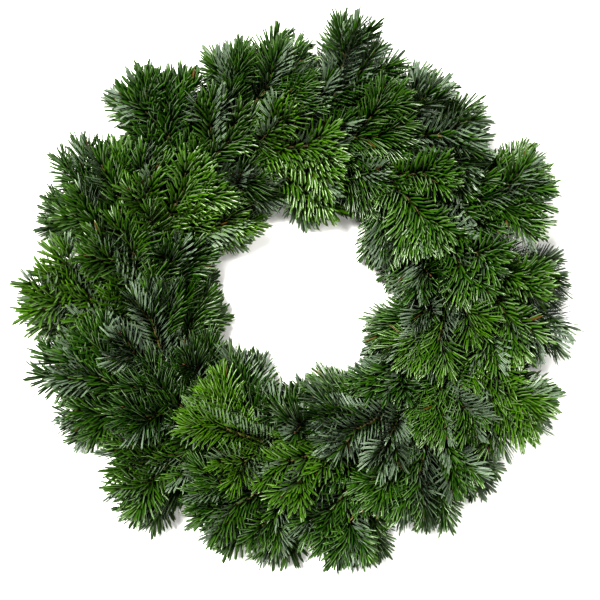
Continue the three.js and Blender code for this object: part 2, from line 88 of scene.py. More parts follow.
# follow is how far the main twig goes on turning with the ring, splay turns it out of the ring, sway
# adds to that in every other bunch, and rise and droop are its slope near the ring and at its tip.
# face is the seat angle to which its upper side looks.
ROWS = [
    dict(name="outer", seat=16, face=66, follow=0.24, splay=2, sway=2, rise=35, droop=11, length=136),
    dict(name="shoulder", seat=60, face=95, follow=0.29, splay=15, sway=4, rise=37, droop=1, length=134),
    dict(name="crown", seat=104, face=112, follow=0.64, splay=4, sway=8, rise=36, droop=2, length=124),
    dict(name="inner", seat=148, face=136, follow=0.86, splay=-11, sway=4, rise=34, droop=12, length=91),
]
OUTER_EXTRA = [17, -7, -7, -12, 11, -11, 5, -10, -6, -9, 16, -12, 13, -4]  # reach, bunch by bunch
SPLAY_DRAW = 6
SLOPE_DRAW = 3
LENGTH_DRAW = 6
LAYOUT_SEED = 33
SIDE_TWIG_SHARE = 0.43
SIDE_TWIG_DRAW = (0.85, 1.1)
SIDE_TWIG_PLACES = [0.42, 0.6]
SIDE_TWIG_SPREADS = [52, 40, 64]
SIDE_TWIG_TILTS = [0, 14, -14, 28, -28, 42]
SIDE_TWIG_SIZES = [1, 0.8, 0.62]
SPREAD_LOST = 0.45  # by a side twig's tip, as a share of its spread
TILT_LOST = 0.5
TWIG_DISTANCE = 9.0
FORK_STEPS = 3  # that stay out of that test, next to the fork
STRAW_DISTANCE = 6.0
LOWEST_TWIG = 9.0
HOLE_REACH = 78.0

# Young twigs, which only the finer pieces have: the place along the twig that they leave, the side,
# which is 1 towards the hole, and the share of the main twig's length
YOUNG_TWIGS = dict(
    outer=[
        (0.3, -1, 0.3), (0.36, 1, 0.28), (0.52, -1, 0.3),
        (0.52, 1, 0.28), (0.74, -1, 0.26), (0.8, 1, 0.2),
    ],
    shoulder=[(0.3, 1, 0.3), (0.36, -1, 0.3), (0.72, -1, 0.28), (0.8, 1, 0.22)],
    crown=[(0.3, 1, 0.3), (0.36, -1, 0.3), (0.72, 1, 0.26), (0.78, -1, 0.24)],
    inner=[(0.3, 1, 0.36), (0.5, 1, 0.4), (0.7, 1, 0.38), (0.82, -1, 0.22), (0.86, 1, 0.3)],
)
YOUNG_ON_SIDE_TWIGS = [(0.5, -1, 0.2), (0.58, 1, 0.2)]
YOUNG_SIZES = [1, 0.75, 0.55]
YOUNG_TILTS = [4, -10, 18, -24]
YOUNG_SPREADS = [34, 26, 44]
YOUNG_DISTANCE = 5.5
YOUNG_HOLE_REACH = 63.0

# The twigs' own shape
TWIG_SIDES = 6
MAIN_TWIG_RADII = (STEM_RADIUS * 0.92, 1.0)  # at the cut end or fork, and at the tip
OTHER_TWIG_RADII = (1.0, 0.75)
KNOT_SHARE = 0.06  # of the radius
KNOT_STEP = 1.9
SKYWARD = dict(outer=0.35, shoulder=0.2, crown=0.2, inner=0.45)  # how far upper sides look up
MAIN_ROLL_DRAW = 8
OTHER_ROLL_DRAW = 12

# Buds: a length and a radius, and the widths at some shares of the length
END_BUD = (4.2, 1.35)
SIDE_BUD = (3.2, 1.05)
BUD_STOPS = np.array([0.0, 0.14, 0.4, 0.72, 0.97])
BUD_WIDTHS = np.array([0.55, 0.9, 1.0, 0.64, 0.14])
BUD_SIDES = 6
BUD_LENGTH_DRAW = (0.85, 1.15)
SIDE_BUD_LEAN = 36
SIDE_BUD_SET_BACK = 0.6
TWIGS_WITH_SIDE_BUDS = 3  # of each spray

# Needles, in millimetres and degrees
NEEDLE_SEED = 51
NEEDLE_LENGTH = 23.0
NEEDLE_WIDTH = 1.7
NEEDLE_PITCH = 3.3
# Each row on a side of a twig: its angle from above, its shift and how many pitches apart it grows
NEEDLE_ROWS = [(87, 0.0, 1), (65, 0.03, 1), (40, 0.06, 1), (14, 0.6, 3)]
SIDE_SHIFT = 0.25  # of a pitch, forwards on one side and back on the other
PLACE_DRAW = 0.05  # of a pitch
ANGLE_DRAW = 3
END_MARGIN = 0.5  # that the rows leave free at the tip
BARE_LENGTH = 7.0
FORK_BARE_LENGTH = 3.0
TIP_NEEDLES = 7
TIP_NEEDLES_LENGTH = 2.5
TIP_ANGLE_DRAW = 12
TIP_LENGTH = 23.0  # over which the needles turn into the brush at the tip
ROOT_DEPTH_SHARE = 0.7  # of the twig's radius

# How far needles lean away from their twig
SIDE_LEANS = (56, 82)
TOP_LEAN = 40
TIP_LEAN = 25
TWIG_LEAN_DRAW = 4
LEAN_DRAW = 2.0
LEAN_WAVE = 3
LEAN_WAVE_STEP = 12
LEAN_WAVE_START = 6

# How far needles bend forwards and up, as shares of their own direction
FORWARD_BENDS = (0.25, 0.6)
FORWARD_LOST = 0.6  # at the tip
UPWARD_BEND = 0.26
STRAY = 0.035

# Which way the needles' upper sides look
FLAT_SPLAY = 0.2
TWIST_DRAW = 14
TWISTED_SHARE = 0.26  # of the sides of all twigs, whose needles show their silvery undersides
TWISTED_FROM = 0.4  # radians round the twig, from its upper side
TWISTS = (90, 150)

# Shares of the full length
TOP_NEEDLE_SHARE = 0.68
SIDEWAYS_POWER = 1.5
FIRST_NEEDLE_SHARE = 0.78
FULL_LENGTH_FROM = 0.12  # of the way along the twig
TIP_SHORTENED = 0.16
LENGTH_DRAW_OF_NEEDLES = (0.92, 1.06)
LENGTH_DRAW_OF_TWIGS = (0.94, 1.04)

# What is drawn for a whole spray, and for each needle's width
SIZES = (0.9, 1.12)
BREADTHS = (0.88, 1.4)
WIDTH_DRAW = (0.9, 1.1)

# One needle's shape, and its place in its own cell of the map, as shares
NEEDLE_STOPS = np.array([0.0, 0.42, 0.88])
NEEDLE_WIDTHS = np.array([0.62, 1.0, 0.8])
NEEDLE_SECTION = np.array([[0.5, 0.0], [-0.5, 0.0], [0.0, 0.3]])
NEEDLE_SIDES = len(NEEDLE_SECTION)
RIDGE = 2  # the section's last corner, after its two edges
NEEDLE_VERTICES = NEEDLE_SIDES * len(NEEDLE_STOPS) + 1
MAP_UPPER = 0.06
MAP_LOWER = 0.54
MAP_WIDTH = 0.4
MAP_FOOT = 0.08
MAP_LENGTH = 0.88
MAP_ROOT_FOOT = 0.01
MAP_ROOT_LENGTH = 0.03

# Needles are left out where they would meet something at one of these shares of their length
NEEDLE_TESTS = (0.4, 0.7, 1.0)
STRAW_CLEARANCE = 0.8
FLOOR_CLEARANCE = 0.5
TWIG_CLEARANCE = 2.1
SEARCH_STEP = 2.0  # between the points of a twig
LOWEST_TIP = 0.9
LIFT_FACTOR = 1.35  # because a raised direction is made shorter again

# Painted shade: needles covered by other twigs are darkened in their colour, as shade inside the wreath
# would fall. A needle is inside where this many points of other twigs lie within the radius of a place
# this far outside it
COVER_DISTANCE = 17.0
COVER_RADIUS = 15.0
COVER_POINTS = 17
COVER_TEST = 0.6
COVER_SKYWARD = 0.5

# How dark, fresh and dry needles are, and how strong their painted highlight streaks are, as shares
SPRAY_TONES = (0.25, 0.55)
TONE_DRAW = 0.32
USUAL_FRESHNESS = (0.02, 0.06)
FRESHNESS_DRAW = 0.07
PAINTED_HIGHLIGHT_POWER = 1.6
DRY_CHANCE = 0.002
DRYNESS = 0.8

# Sprays that are turned a little and show their silvery undersides on most sides of their twigs, and
# how fresh the yellow-green ones are
SILVER_SPRAYS = ["shoulder_02", "shoulder_03", "crown_07", "outer_05", "crown_11"]
SILVER_ROLL = 30
SILVER_TWISTED_SHARE = 0.9
FRESH_SPRAYS = dict(
    crown_09=0.44,
    inner_13=0.45,
    crown_01=0.27,
    shoulder_06=0.26,
    shoulder_12=0.34,
    crown_13=0.26,
    crown_08=0.26,
    crown_05=0.24,
    crown_03=0.12,
    crown_12=0.16,
    shoulder_05=0.16,
    shoulder_10=0.16,
    inner_01=0.26,
    outer_12=0.2,
    outer_04=0.2,
)

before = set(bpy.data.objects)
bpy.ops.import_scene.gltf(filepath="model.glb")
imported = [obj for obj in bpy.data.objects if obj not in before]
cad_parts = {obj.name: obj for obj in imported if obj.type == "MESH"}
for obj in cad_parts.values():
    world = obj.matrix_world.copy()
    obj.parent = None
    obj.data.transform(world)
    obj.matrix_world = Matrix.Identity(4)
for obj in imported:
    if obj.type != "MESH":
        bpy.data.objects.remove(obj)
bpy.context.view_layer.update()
ring_low, ring_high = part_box("straw_ring")
RING_MIDDLE = np.array([(ring_low.x + ring_high.x) / 2, (ring_low.y + ring_high.y) / 2, 0.0])


def lottery(seed):
    """A small generator that draws the same random numbers as the solids' layout."""
    factor = 16807
    modulus = 2147483647
    state = seed

    def draw(low, high):
        nonlocal state
        state = state * factor % modulus
        return low + (high - low) * state / modulus

    return draw


def nearest(value):
    """The nearest whole number, with halves rounded up as in the solids' layout."""
    return math.floor(value + 0.5)


def unit(vectors):
    return vectors / np.linalg.norm(vectors, axis=-1, keepdims=True)


def radial(clock):
    return np.array([math.sin(clock), math.cos(clock), 0.0])


def clockwise(clock):
    return np.array([math.cos(clock), -math.sin(clock), 0.0])


def outward(clock, seat):
    return radial(clock) * math.cos(seat) + UP * math.sin(seat)


def on_section(clock, seat, reach):
    middle = radial(clock) * RING_RADIUS + UP * RING_HEIGHT
    return middle + outward(clock, seat) * reach


def ring_middle(points):
    """The nearest place to each point on the centre line of the straw ring."""
    return unit(points * [1, 1, 0]) * RING_RADIUS + UP * RING_HEIGHT


def smoothstep(value, low, high):
    """0 up to low, 1 from high on and a smooth rise between."""
    share = np.clip((value - low) / (high - low), 0, 1)
    return share * share * (3 - 2 * share)


def squared_to(vectors, axes):
    """Vectors turned square to unit axes, each in its own plane with its axis."""
    return unit(vectors - axes * (vectors * axes).sum(1, keepdims=True))


def main_twig(row, bunch, draw):
    """The centre line of a main twig, from its cut end on the straw to its tip."""
    seat = math.radians(row["seat"])
    start = FIRST_CLOCK + PITCH * (bunch + (seat - FIRST_SEAT) / FULL_TURN)
    sway = row["sway"] if bunch % 2 else -row["sway"]
    splay = math.radians(row["splay"] + sway + draw(-SPLAY_DRAW, SPLAY_DRAW))
    rise = math.radians(row["rise"] + draw(-SLOPE_DRAW, SLOPE_DRAW))
    droop = math.radians(row["droop"] + draw(-SLOPE_DRAW, SLOPE_DRAW))
    extra = OUTER_EXTRA[bunch] if row["name"] == "outer" else 0
    length = row["length"] + draw(-LENGTH_DRAW, LENGTH_DRAW) + extra
    corner_angle = FULL_TURN / STRAW_SIDES
    flat = nearest((seat + math.pi / 2) / corner_angle) * corner_angle - math.pi / 2
    reach = RING_HEIGHT / math.cos(seat - flat)
    seat_radius = RING_RADIUS + reach * math.cos(seat) + (STEM_FLAT + GAP) * math.cos(flat)
    leave = start + BOUND_LENGTH / seat_radius
    points = []
    ups = []
    for step in range(nearest(length / STEP) + 1):
        along = step * STEP
        if along <= BOUND_LENGTH:
            clock = start + along / seat_radius
            normal = outward(clock, flat)
            points.append(on_section(clock, seat, reach) + normal * (STEM_FLAT + GAP))
            ups.append(normal)
            continue
        last = points[-1]
        free = smoothstep(along - STEP / 2, BOUND_LENGTH, BOUND_LENGTH + LIFT_OFF_LENGTH)
        gone_round = (math.atan2(last[0], last[1]) - leave + math.pi) % FULL_TURN - math.pi
        basis = leave + (1 - free * (1 - row["follow"])) * gone_round
        lift = free * (rise + (droop - rise) * (along - BOUND_LENGTH) / (length - BOUND_LENGTH))
        away = outward(basis, seat)
        level = clockwise(basis) * math.cos(splay * free) + radial(basis) * math.sin(splay * free)
        points.append(last + unit(level * math.cos(lift) + away * math.sin(lift)) * STEP)
        ups.append(outward(basis, math.radians(row["face"])))
    return dict(points=np.array(points), ups=np.array(ups))


def side_twig(main, place, side, spread, tilt, length):
    """The centre line of a side twig, which bends back towards the main twig's heading."""
    points, ups = main["points"], main["ups"]
    fork = nearest(place * (len(points) - 1))
    heading = unit(points[fork + 1] - points[fork - 1])
    up = unit(ups[fork] - heading * heading.dot(ups[fork]))
    across = np.cross(heading, up)
    steps = nearest(length / STEP)
    line = [points[fork]]
    for step in range(1, steps + 1):
        angle = math.radians(spread) * (1 - SPREAD_LOST * step / steps)
        lift = math.radians(tilt) * (1 - TILT_LOST * step / steps)
        level = heading * math.cos(angle) + across * side * math.sin(angle)
        line.append(line[-1] + unit(level * math.cos(lift) + up * math.sin(lift)) * STEP)
    return dict(points=np.array(line), ups=np.tile(up, (len(line), 1)))


def straw_distance(points):
    """How far points are from the straw's surface."""
    across = np.hypot(points[..., 0], points[..., 1]) - RING_RADIUS
    return np.hypot(across, points[..., 2] - RING_HEIGHT) - STRAW_RADIUS


def has_room(points, others, distance, hole_reach):
    """Whether a twig stays clear of the straw, the hole, what the wreath lies on and other twigs."""
    if not len(points):
        return False
    is_high = (points[:, 2] > LOWEST_TWIG).all()
    is_outside = (np.hypot(points[:, 0], points[:, 1]) > hole_reach).all()
    if not (is_high and is_outside and (straw_distance(points) > STRAW_DISTANCE).all()):
        return False
    gaps = np.linalg.norm(points[:, None] - others[None], axis=2)
    return bool((gaps >= distance).all())


def first_with_room(main, place, side, length, choices, others, distance, hole_reach):
    """The first side twig that has room. choices holds the sizes, tilts and spreads to try."""
    sizes, tilts, spreads = choices
    for size in sizes:
        for tilt in tilts:
            for spread in spreads:
                twig = side_twig(main, place, side, spread, tilt, length * size)
                if has_room(twig["points"][FORK_STEPS:], others, distance, hole_reach):
                    return twig
    return None


def points_of(sprays, leaving_out=None):
    return [twig["points"] for spray in sprays if spray is not leaving_out for twig in spray["twigs"]]


def lay_out_sprays():
    """Every spray's twigs, the main one first, drawn in the same order as the solids."""
    draw = lottery(LAYOUT_SEED)
    sprays = []
    for bunch in range(BUNCHES):
        for row in ROWS:
            name = f"{row['name']}_{bunch + 1:02d}"
            sprays.append(dict(name=name, row=row, bunch=bunch, twigs=[main_twig(row, bunch, draw)]))
    choices = (SIDE_TWIG_SIZES, SIDE_TWIG_TILTS, SIDE_TWIG_SPREADS)
    for spray in sprays:
        places = SIDE_TWIG_PLACES if spray["bunch"] % 2 else SIDE_TWIG_PLACES[::-1]
        for side, place in zip([1, -1], places):
            length = SIDE_TWIG_SHARE * spray["row"]["length"] * draw(*SIDE_TWIG_DRAW)
            own = [twig["points"] for twig in spray["twigs"][1:]]
            others = np.concatenate(points_of(sprays, spray) + own)
            main = spray["twigs"][0]
            room = (others, TWIG_DISTANCE, HOLE_REACH)
            twig = first_with_room(main, place, side, length, choices, *room)
            if twig:
                spray["twigs"].append(twig)
    return sprays


def add_young_twigs(sprays):
    """Shorter twigs between the sprays' own, wherever one has room."""
    choices = (YOUNG_SIZES, YOUNG_TILTS, YOUNG_SPREADS)
    for spray in sprays:
        main, *side_twigs = spray["twigs"]
        wanted = [(main, *young) for young in YOUNG_TWIGS[spray["row"]["name"]]]
        wanted += [(twig, *young) for twig in side_twigs for young in YOUNG_ON_SIDE_TWIGS]
        for carrier, place, side, share in wanted:
            own = [twig["points"] for twig in spray["twigs"] if twig is not carrier]
            others = np.concatenate(points_of(sprays, spray) + own)
            length = share * spray["row"]["length"]
            room = (others, YOUNG_DISTANCE, YOUNG_HOLE_REACH)
            twig = first_with_room(carrier, place, side, length, choices, *room)
            if twig:
                spray["twigs"].append(twig)


def wire_clock(turn, seat):
    """The clock angle of the wire where it passes a seat angle, turn by turn."""
    first = FIRST_CLOCK + BOUND_LENGTH / 2 / RING_RADIUS
    return first + PITCH * (turn + (seat - FIRST_SEAT) / FULL_TURN)


def wire_route():
    """The wire's centre line: in its groove below and at the hole, and over the stems above."""
    stem_top = STRAW_RADIUS + 2 * STEM_FLAT + GAP + WIRE_RADIUS
    over_stems = stem_top / math.cos(math.radians(WIDEST_WIRE_STEP / 2))
    in_groove = STRAW_RADIUS - GROOVE_DEPTH + GAP + WIRE_RADIUS
    turn = [(seat, in_groove) for seat in WIRE_SEATS_IN_GROOVE]
    turn += [(seat, over_stems) for seat in WIRE_SEATS_OVER_STEMS]
    points = []
    for index in range(WIRE_START, WIRE_START + len(turn) * BUNCHES):
        seat, reach = turn[index % len(turn)]
        clock = wire_clock(index // len(turn), math.radians(seat))
        points.append(on_section(clock, math.radians(seat), reach))
    return np.array(points)


def resampled(points, spacing):
    """A smooth line through the points, with its own points about spacing apart."""
    padded = np.concatenate([[2 * points[0] - points[1]], points, [2 * points[-1] - points[-2]]])
    pieces = []
    for a, b, c, d in zip(padded, padded[1:], padded[2:], padded[3:]):
        count = max(1, nearest(np.linalg.norm(c - b) / spacing))
        t = (np.arange(count) / count)[:, None]
        bend = 2 * b + (c - a) * t + (2 * a - 5 * b + 4 * c - d) * t**2 + (3 * b - a - 3 * c + d) * t**3
        pieces.append(bend / 2)
    return np.concatenate([*pieces, points[-1:]])


def frames_along(twig, at):
    """Place, heading, up and side at lengths along a twig. Side is to the right of heading."""
    points = twig["points"]
    lengths = np.concatenate([[0], np.cumsum(np.linalg.norm(np.diff(points, axis=0), axis=1))])

    def between(values):
        return np.stack([np.interp(at, lengths, values[:, axis]) for axis in range(3)], axis=1)

    heading = unit(between(np.gradient(points, axis=0)))
    up = squared_to(between(twig["faces"]), heading)
    return between(points), heading, up, np.cross(heading, up)


def turned(vectors, axes, angles):
    """Vectors turned round unit axes."""
    cos, sin = np.cos(angles)[:, None], np.sin(angles)[:, None]
    along = (vectors * axes).sum(1, keepdims=True) * (1 - cos)
    return vectors * cos + np.cross(axes, vectors) * sin + axes * along


def face_twigs(spray, rng):
    """Says which way the upper side of each twig looks, by its row, its spray and a draw."""
    skyward = SKYWARD[spray["row"]["name"]]
    for index, twig in enumerate(spray["twigs"]):
        heading = unit(np.gradient(twig["points"], axis=0))
        up = squared_to(twig["ups"] * (1 - skyward) + UP * skyward, heading)
        roll = rng.normal(0, OTHER_ROLL_DRAW if index else MAIN_ROLL_DRAW)
        if spray["name"] in SILVER_SPRAYS:
            roll += SILVER_ROLL * rng.choice([-1, 1])
        twig["faces"] = turned(up, heading, np.full(len(up), math.radians(roll)))


def habit_of(spray, rng):
    """What the needles of a spray have in common. Its lean is for the needles on the twigs' sides."""
    is_silver = spray["name"] in SILVER_SPRAYS
    return dict(
        size=rng.uniform(*SIZES),
        breadth=rng.uniform(*BREADTHS),
        lean=rng.uniform(*SIDE_LEANS),
        twisted_share=SILVER_TWISTED_SHARE if is_silver else TWISTED_SHARE,
    )


def needle_places(total, bare, pitch, rng):
    """Where needles stand on a twig: how far along it and at which angle from its upper side. They
    stand in rows on both sides, and in a brush round the tip."""
    at = []
    azimuth = []
    for angle, shift, pitches in NEEDLE_ROWS:
        for side in (-1, 1):
            first = bare + pitch * ((shift + SIDE_SHIFT * side) % 1)
            places = np.arange(first, total - END_MARGIN, pitch * pitches)
            at.append(places + rng.normal(0, PLACE_DRAW * pitch, len(places)))
            azimuth.append(side * (angle + rng.normal(0, ANGLE_DRAW, len(places))))
    at.append(total - rng.uniform(0, TIP_NEEDLES_LENGTH, TIP_NEEDLES))
    evenly = np.arange(TIP_NEEDLES) * 360 / TIP_NEEDLES - 180
    azimuth.append(evenly + rng.normal(0, TIP_ANGLE_DRAW, TIP_NEEDLES))
    return np.clip(np.concatenate(at), bare, total), np.radians(np.concatenate(azimuth))


def needle_leans(at, sideways, tip, side_lean, rng):
    """How far needles lean away from their twig: most on its sides, and least round its tip."""
    lean = TOP_LEAN + (side_lean + rng.normal(0, TWIG_LEAN_DRAW) - TOP_LEAN) * sideways
    lean += (TIP_LEAN - lean) * tip + rng.normal(0, LEAN_DRAW, len(at))
    lean += LEAN_WAVE * np.sin(at / LEAN_WAVE_STEP + rng.random() * LEAN_WAVE_START)
    return np.radians(lean)[:, None]


def needle_ends(start, heading, up, sideways, tip, rng):
    """The directions at the needles' own tips, bent forwards and up from those at their roots."""
    forward = heading * rng.uniform(*FORWARD_BENDS) * (1 - FORWARD_LOST * tip)[:, None]
    upward = up * (UPWARD_BEND * sideways * (1 - tip))[:, None]
    return unit(unit(start + forward + upward) + rng.normal(0, STRAY, start.shape))


def needle_faces_up(start, up, ray, azimuth, twisted_share, rng):
    """Which way the needles' upper sides look. Some sides of twigs have theirs twisted over."""
    face = squared_to(up + ray * FLAT_SPLAY, start)
    twist = rng.normal(0, TWIST_DRAW, len(start))
    for way in (-1, 1):
        if rng.random() < twisted_share:
            twist += np.where(azimuth * way > TWISTED_FROM, way * rng.uniform(*TWISTS), 0)
    return turned(face, start, np.radians(twist))


def needle_lengths(share, sideways, tip, size, rng):
    """How long needles are: shorter over the twig, near its start and round its tip."""
    full = TOP_NEEDLE_SHARE + (1 - TOP_NEEDLE_SHARE) * sideways**SIDEWAYS_POWER
    grown = FIRST_NEEDLE_SHARE + (1 - FIRST_NEEDLE_SHARE) * smoothstep(share, 0, FULL_LENGTH_FROM)
    length = NEEDLE_LENGTH * full * grown * (1 - TIP_SHORTENED * tip)
    length = length * rng.uniform(*LENGTH_DRAW_OF_NEEDLES, len(share)) * size
    return length * rng.uniform(*LENGTH_DRAW_OF_TWIGS)


def grow_needles(twig, is_main, habit, rng):
    """The needles of one twig: roots, directions at both ends, upper sides, lengths and widths."""
    size, breadth = habit["size"], habit["breadth"]
    total = STEP * (len(twig["points"]) - 1)
    bare = BARE_LENGTH if is_main else FORK_BARE_LENGTH
    at, azimuth = needle_places(total, bare, NEEDLE_PITCH * size * breadth, rng)
    place, heading, up, side = frames_along(twig, at)
    sideways = np.abs(np.sin(azimuth))
    tip = smoothstep(at, total - TIP_LENGTH, total)
    lean = needle_leans(at, sideways, tip, habit["lean"], rng)
    ray = up * np.cos(azimuth)[:, None] + side * np.sin(azimuth)[:, None]
    start = heading * np.cos(lean) + ray * np.sin(lean)
    end = needle_ends(start, heading, up, sideways, tip, rng)
    face = needle_faces_up(start, up, ray, azimuth, habit["twisted_share"], rng)
    length = needle_lengths((at - bare) / (total - bare), sideways, tip, size, rng)
    width = NEEDLE_WIDTH * breadth * rng.uniform(*WIDTH_DRAW, len(at))
    root = place + ray * (twig_radius(twig, at, is_main) * ROOT_DEPTH_SHARE)[:, None]
    return dict(root=root, start=start, end=end, face=face, length=length, width=width)


def twig_radius(twig, at, is_main):
    """The radius of a twig at lengths along it, thinner towards its tip."""
    total = STEP * (len(twig["points"]) - 1)
    base, tip = MAIN_TWIG_RADII if is_main else OTHER_TWIG_RADII
    return base + (tip - base) * np.clip(at / total, 0, 1)


def needle_point(needles, share):
    """The middle of each needle at a share of its length."""
    bend = needles["start"] * share + (needles["end"] - needles["start"]) * share**2 / 2
    return needles["root"] + bend * needles["length"][:, None]


def keep_off_floor(needles):
    """Turns up the needles that would go through what the wreath lies on."""
    too_low = np.maximum(0, LOWEST_TIP - needle_point(needles, 1.0)[:, 2])
    for end in ("start", "end"):
        raised = needles[end].copy()
        raised[:, 2] += too_low / needles["length"] * LIFT_FACTOR
        needles[end] = unit(raised)


def merged(parts):
    return {key: np.concatenate([part[key] for part in parts]) for key in parts[0]}


def crossing(needles, owner, tree, owners):
    """Whether each needle meets the straw, the wire or a twig that isn't its own."""
    hits = np.zeros(len(needles["root"]), bool)
    for share in NEEDLE_TESTS:
        points = needle_point(needles, share)
        hits |= (straw_distance(points) < STRAW_CLEARANCE) | (points[:, 2] < FLOOR_CLEARANCE)
        for index, point in enumerate(points):
            if hits[index]:
                continue
            near = tree.find_range(point, TWIG_CLEARANCE)
            hits[index] = any(owners[found] != owner for _, found, _ in near)
    return hits


def painted_shade_share(needles, owner, tree, owners):
    """How far each needle is covered by twigs that lie further out from the ring's centre line, for the
    painted shade that darkens it.
    """
    middle = needle_point(needles, COVER_TEST)
    away = unit(unit(middle - ring_middle(middle)) + UP * COVER_SKYWARD)
    share = np.empty(len(middle))
    for index, point in enumerate(middle + away * COVER_DISTANCE):
        near = tree.find_range(point, COVER_RADIUS)
        share[index] = sum(owners[found] != owner for _, found, _ in near) / COVER_POINTS
    return np.clip(share, 0, 1)


def tree_of_twigs(sprays, wire):
    """A search tree of points on the wire and all twigs, and the number of the twig that each is on."""
    lines = [resampled(line, SEARCH_STEP) for line in [wire, *points_of(sprays)]]
    owners = np.concatenate([np.full(len(line), number) for number, line in enumerate(lines)])
    tree = KDTree(len(owners))
    for index, point in enumerate(np.concatenate(lines)):
        tree.insert(point, index)
    tree.balance()
    return tree, owners


def new_mesh(name, points, corners, starts):
    """A mesh from points in millimetres round the ring's middle, and its faces' corners."""
    mesh = bpy.data.meshes.new(name)
    mesh.vertices.add(len(points))
    mesh.vertices.foreach_set("co", (points * METRES + RING_MIDDLE).ravel())
    mesh.loops.add(len(corners))
    mesh.loops.foreach_set("vertex_index", corners)
    mesh.polygons.add(len(starts))
    mesh.polygons.foreach_set("loop_start", starts)
    mesh.update(calc_edges=True)
    mesh.polygons.foreach_set("use_smooth", np.full(len(starts), True))
    return mesh


def add_attribute(mesh, name, values, domain="POINT"):
    mesh.attributes.new(name, "FLOAT", domain).data.foreach_set("value", values.astype(np.float32))


def add_map(mesh, places):
    """The map that holds each part of the surface in a place of its own."""
    mesh.uv_layers.new(name="OFBake").data.foreach_set("uv", places.astype(np.float32).ravel())


def needle_faces():
    """The corners of one needle's faces, where each face starts, and which faces are below."""
    faces = []
    below = []
    for stop in range(len(NEEDLE_STOPS)):
        for side in range(NEEDLE_SIDES):
            a = NEEDLE_SIDES * stop + side
            b = NEEDLE_SIDES * stop + (side + 1) % NEEDLE_SIDES
            if stop == len(NEEDLE_STOPS) - 1:
                faces.append([a, b, NEEDLE_VERTICES - 1])
            else:
                faces.append([a, b, b + NEEDLE_SIDES, a + NEEDLE_SIDES])
            below.append(side == 0)
    faces.append([0, RIDGE, 1])
    below.append(True)
    corners = np.concatenate(faces)
    sizes = [len(face) for face in faces]
    starts = np.concatenate([[0], np.cumsum(sizes)[:-1]])
    return corners, starts, np.array(below), sizes


def needle_map(corners, sizes, below, count):
    """Where the corners of count needles lie on the map: one cell each, upper side beside lower."""
    columns = math.ceil(math.sqrt(count))
    stops = np.append(np.repeat(NEEDLE_STOPS, NEEDLE_SIDES), 1.0)
    under = np.repeat(below, sizes)
    sides = corners % NEEDLE_SIDES
    across = np.where(sides == RIDGE, 0.5, np.where(under, sides, 1 - sides))
    across = np.where(corners == NEEDLE_VERTICES - 1, 0.5, across)
    u = np.where(under, MAP_LOWER, MAP_UPPER) + MAP_WIDTH * across
    v = MAP_FOOT + MAP_LENGTH * stops[corners]
    # The last three corners are those of the face at the root
    v[-3:] = MAP_ROOT_FOOT + MAP_ROOT_LENGTH * (sides[-3:] == RIDGE)
    cell = np.arange(count)[:, None]
    return np.stack([(cell % columns + u) / columns, (cell // columns + v) / columns], axis=2)


def needle_mesh(name, needles):
    """All needles of a spray as one mesh: ridged above, flat below and blunt at the tip."""
    count = len(needles["root"])
    rings = []
    for share, width in zip(NEEDLE_STOPS, NEEDLE_WIDTHS):
        middle = needle_point(needles, share)
        way = unit(needles["start"] * (1 - share) + needles["end"] * share)
        across = unit(np.cross(way, needles["face"]))
        above = np.cross(across, way)
        size = (needles["width"] * width)[:, None]
        for sideways, height in NEEDLE_SECTION:
            rings.append(middle + across * size * sideways + above * size * height)
    points = np.stack([*rings, needle_point(needles, 1.0)], axis=1).reshape(-1, 3)
    corners, starts, below, sizes = needle_faces()
    cell = np.arange(count)[:, None]
    all_corners = (cell * NEEDLE_VERTICES + corners).ravel()
    mesh = new_mesh(name, points, all_corners, (cell * len(corners) + starts).ravel())
    mark_edges(mesh)
    add_map(mesh, needle_map(corners, sizes, below, count))
    across = np.append(np.tile(2 * NEEDLE_SECTION[:, 0], len(NEEDLE_STOPS)), 0.0)
    along = np.append(np.repeat(NEEDLE_STOPS, NEEDLE_SIDES), 1.0)
    add_attribute(mesh, "across", np.tile(across, count))
    add_attribute(mesh, "along", np.tile(along, count))
    add_attribute(mesh, "under", np.tile(below, count), "FACE")
    # Per-needle values; one darkens the needle with painted shade under other twigs, another sets its
    # painted highlight streak
    for key in ("shade", "fresh", "dry", "inner", "painted_highlight_strength"):
        add_attribute(mesh, key, np.repeat(needles[key], NEEDLE_VERTICES))
    return mesh


def mark_edges(mesh):
    """The two long edges of each needle stay sharp."""
    ends = np.empty(len(mesh.edges) * 2, np.int32)
    mesh.edges.foreach_get("vertices", ends)
    ends = np.sort(ends.reshape(-1, 2) % NEEDLE_VERTICES, axis=1)
    low, high = ends[:, 0], ends[:, 1]
    is_along = (low % NEEDLE_SIDES == high % NEEDLE_SIDES) | (high == NEEDLE_VERTICES - 1)
    sharp = is_along & (low % NEEDLE_SIDES != RIDGE)
    mesh.attributes.new("sharp_edge", "BOOLEAN", "EDGE").data.foreach_set("value", sharp)


def tube(points, ups, radii, sides):
    """Rings round a line, closed by a point at each end, with the corners of its faces."""
    heading = unit(np.gradient(points, axis=0))
    up = squared_to(ups, heading)
    across = np.cross(heading, up)
    angles = (np.arange(sides) * FULL_TURN / sides)[None, :, None]
    ring = up[:, None] * np.cos(angles) + across[:, None] * np.sin(angles)
    vertices = (points[:, None] + ring * radii[:, None, None]).reshape(-1, 3)
    vertices = np.concatenate([vertices, points[:1], points[-1:]])
    last = (len(points) - 1) * sides
    faces = []
    for start in range(0, last, sides):
        for side in range(sides):
            a, b = start + side, start + (side + 1) % sides
            faces.append([a, b, b + sides, a + sides])
    for side in range(sides):
        after = (side + 1) % sides
        faces.append([after, side, last + sides])
        faces.append([last + side, last + after, last + sides + 1])
    return vertices, faces


def bud(place, heading, up, size, rng):
    """A pointed bud. Its size holds its length and its radius."""
    length, radius = size
    points = place + heading * (BUD_STOPS * (length * rng.uniform(*BUD_LENGTH_DRAW)))[:, None]
    return tube(points, np.tile(up, (len(points), 1)), BUD_WIDTHS * radius, BUD_SIDES)


